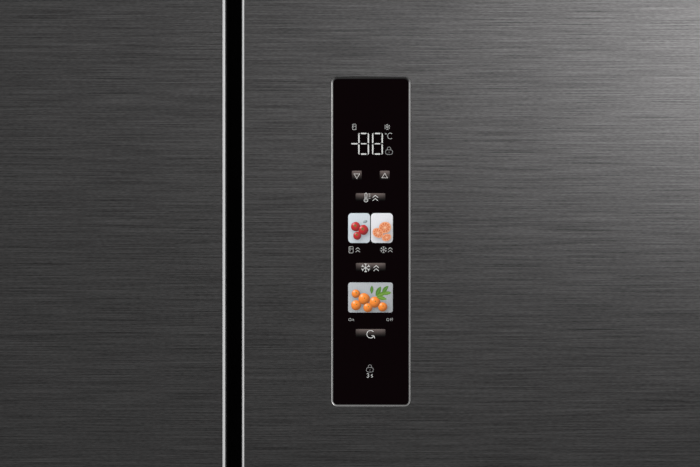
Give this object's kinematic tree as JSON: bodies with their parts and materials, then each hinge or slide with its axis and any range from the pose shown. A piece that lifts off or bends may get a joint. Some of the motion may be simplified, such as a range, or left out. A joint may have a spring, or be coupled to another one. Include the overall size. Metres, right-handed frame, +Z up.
{
  "type": "multi-door refrigerator",
  "caption": "Upright refrigerator with two hinged upper doors, a slim touch panel on the right one and two pull-out freezer drawers below, in dark brushed steel.",
  "frame": {"origin": "centre of the footprint, on the floor", "axes": "+Z up, front toward -Y, +X to the right as seen from the front"},
  "size_m": [0.833, 0.69, 1.8],
  "materials": {
    "dark_steel": "satin",
    "painted_sheet": "satin",
    "zinc_sheet": "satin",
    "foam": "matte",
    "white_liner": "satin",
    "edge_metal": "polished",
    "seal_rubber": "matte",
    "clear_tub": "gloss",
    "shelf_glass": "gloss",
    "grey_plastic": "satin",
    "dark_plastic": "matte",
    "black_glass": "gloss",
    "chrome_rim": "polished",
    "board": "satin",
    "black_steel": "gloss",
    "rail_steel": "satin",
    "coil_metal": "satin",
    "black_rubber": "matte",
    "lamp_plastic": "satin"
  },
  "bodies": {
    "cabinet": {"cabinet_wrap": "painted_sheet", "cabinet_foam": "foam", "back_panel": "zinc_sheet", "fridge_liner": "white_liner", "freezer_liner": "white_liner", "drawer_beam": "grey_plastic", "base_plate": "zinc_sheet", "kick_grille": "dark_plastic", "machine_cover": "zinc_sheet", "compressor": "black_steel", "compressor_mounts": "black_rubber", "condenser": "black_steel", "fan_motors": "dark_plastic", "drain_pan": "grey_plastic", "evaporator": "coil_metal", "evaporator_cover": "white_liner", "ceiling_lamp": "lamp_plastic", "shelves": "shelf_glass", "shelf_trims": "grey_plastic", "crispers": "clear_tub", "hinge_brackets": "zinc_sheet", "hinge_covers": "dark_plastic", "fixed_rails": "rail_steel"},
    "condenser_fan": {"condenser_fan": "grey_plastic"},
    "evaporator_fan": {"evaporator_fan": "grey_plastic"},
    "left_foot": {"left_foot": "dark_plastic"},
    "right_foot": {"right_foot": "dark_plastic"},
    "rear_rollers": {"rear_rollers": "dark_plastic"},
    "left_door": {"left_skin": "dark_steel", "left_liner": "white_liner", "left_trim": "edge_metal", "left_seal": "seal_rubber"},
    "right_door": {"right_skin": "dark_steel", "right_liner": "white_liner", "right_trim": "edge_metal", "right_seal": "seal_rubber", "panel_frame": "chrome_rim", "panel_glass": "black_glass", "panel_board": "board"},
    "folding_bar": {"folding_bar": "grey_plastic"},
    "upper_drawer": {"upper_skin": "dark_steel", "upper_liner": "white_liner", "upper_trim": "edge_metal", "upper_seal": "seal_rubber", "upper_basket": "clear_tub", "upper_rails": "rail_steel"},
    "lower_drawer": {"lower_skin": "dark_steel", "lower_liner": "white_liner", "lower_trim": "edge_metal", "lower_seal": "seal_rubber", "lower_basket": "clear_tub", "lower_rails": "rail_steel"},
    "upper_mid_rails": {"upper_mid_rails": "rail_steel"},
    "lower_mid_rails": {"lower_mid_rails": "rail_steel"},
    "left_bin_low": {"left_bin_low": "clear_tub"},
    "left_bin_mid": {"left_bin_mid": "clear_tub"},
    "left_bin_top": {"left_bin_top": "clear_tub"},
    "right_bin_low": {"right_bin_low": "clear_tub"},
    "right_bin_mid": {"right_bin_mid": "clear_tub"},
    "right_bin_top": {"right_bin_top": "clear_tub"}
  },
  "joints": [
    {"name": "left_door_hinge", "type": "hinge", "parent": "cabinet", "child": "left_door", "pos_m": [-0.4025, -0.323, 0.9], "axis": [0, 0, -1], "range_deg": [0, 125]},
    {"name": "right_door_hinge", "type": "hinge", "parent": "cabinet", "child": "right_door", "pos_m": [0.4025, -0.323, 0.9], "axis": [0, 0, 1], "range_deg": [0, 125]},
    {"name": "folding_bar_hinge", "type": "hinge", "parent": "left_door", "child": "folding_bar", "pos_m": [-0.042, -0.258, 1.2], "axis": [0, 0, 1], "range_deg": [0, 90]},
    {"name": "upper_drawer_slide", "type": "slide", "parent": "cabinet", "child": "upper_drawer", "axis": [0, -1, 0], "range_m": [0, 0.4]},
    {"name": "lower_drawer_slide", "type": "slide", "parent": "cabinet", "child": "lower_drawer", "axis": [0, -1, 0], "range_m": [0, 0.305]},
    {"name": "upper_mid_rail_slide", "type": "slide", "parent": "cabinet", "child": "upper_mid_rails", "axis": [0, -1, 0], "range_m": [0, 0.2]},
    {"name": "lower_mid_rail_slide", "type": "slide", "parent": "cabinet", "child": "lower_mid_rails", "axis": [0, -1, 0], "range_m": [0, 0.1525]},
    {"name": "condenser_fan_spin", "type": "hinge", "parent": "cabinet", "child": "condenser_fan", "pos_m": [-0.0925, 0.2475, 0.1205], "axis": [1, 0, 0], "continuous": true},
    {"name": "evaporator_fan_spin", "type": "hinge", "parent": "cabinet", "child": "evaporator_fan", "pos_m": [0, 0.25, 0.681], "axis": [0, 1, 0], "continuous": true},
    {"name": "left_foot_turn", "type": "hinge", "parent": "cabinet", "child": "left_foot", "pos_m": [-0.3805, -0.241, 0.03], "axis": [0, 0, 1], "continuous": true},
    {"name": "right_foot_turn", "type": "hinge", "parent": "cabinet", "child": "right_foot", "pos_m": [0.3805, -0.241, 0.03], "axis": [0, 0, 1], "continuous": true},
    {"name": "rear_rollers_spin", "type": "hinge", "parent": "cabinet", "child": "rear_rollers", "pos_m": [0, 0.305, 0.019], "axis": [1, 0, 0], "continuous": true},
    {"name": "left_bin_low_lift", "type": "slide", "parent": "left_door", "child": "left_bin_low", "axis": [0, 0, 1], "range_m": [0, 0.02]},
    {"name": "left_bin_mid_lift", "type": "slide", "parent": "left_door", "child": "left_bin_mid", "axis": [0, 0, 1], "range_m": [0, 0.02]},
    {"name": "left_bin_top_lift", "type": "slide", "parent": "left_door", "child": "left_bin_top", "axis": [0, 0, 1], "range_m": [0, 0.02]},
    {"name": "right_bin_low_lift", "type": "slide", "parent": "right_door", "child": "right_bin_low", "axis": [0, 0, 1], "range_m": [0, 0.02]},
    {"name": "right_bin_mid_lift", "type": "slide", "parent": "right_door", "child": "right_bin_mid", "axis": [0, 0, 1], "range_m": [0, 0.02]},
    {"name": "right_bin_top_lift", "type": "slide", "parent": "right_door", "child": "right_bin_top", "axis": [0, 0, 1], "range_m": [0, 0.02]}
  ],
  "couplings": [
    {"joint": "upper_mid_rail_slide", "follows": "upper_drawer_slide", "ratio": 0.5},
    {"joint": "lower_mid_rail_slide", "follows": "lower_drawer_slide", "ratio": 0.5}
  ]
}
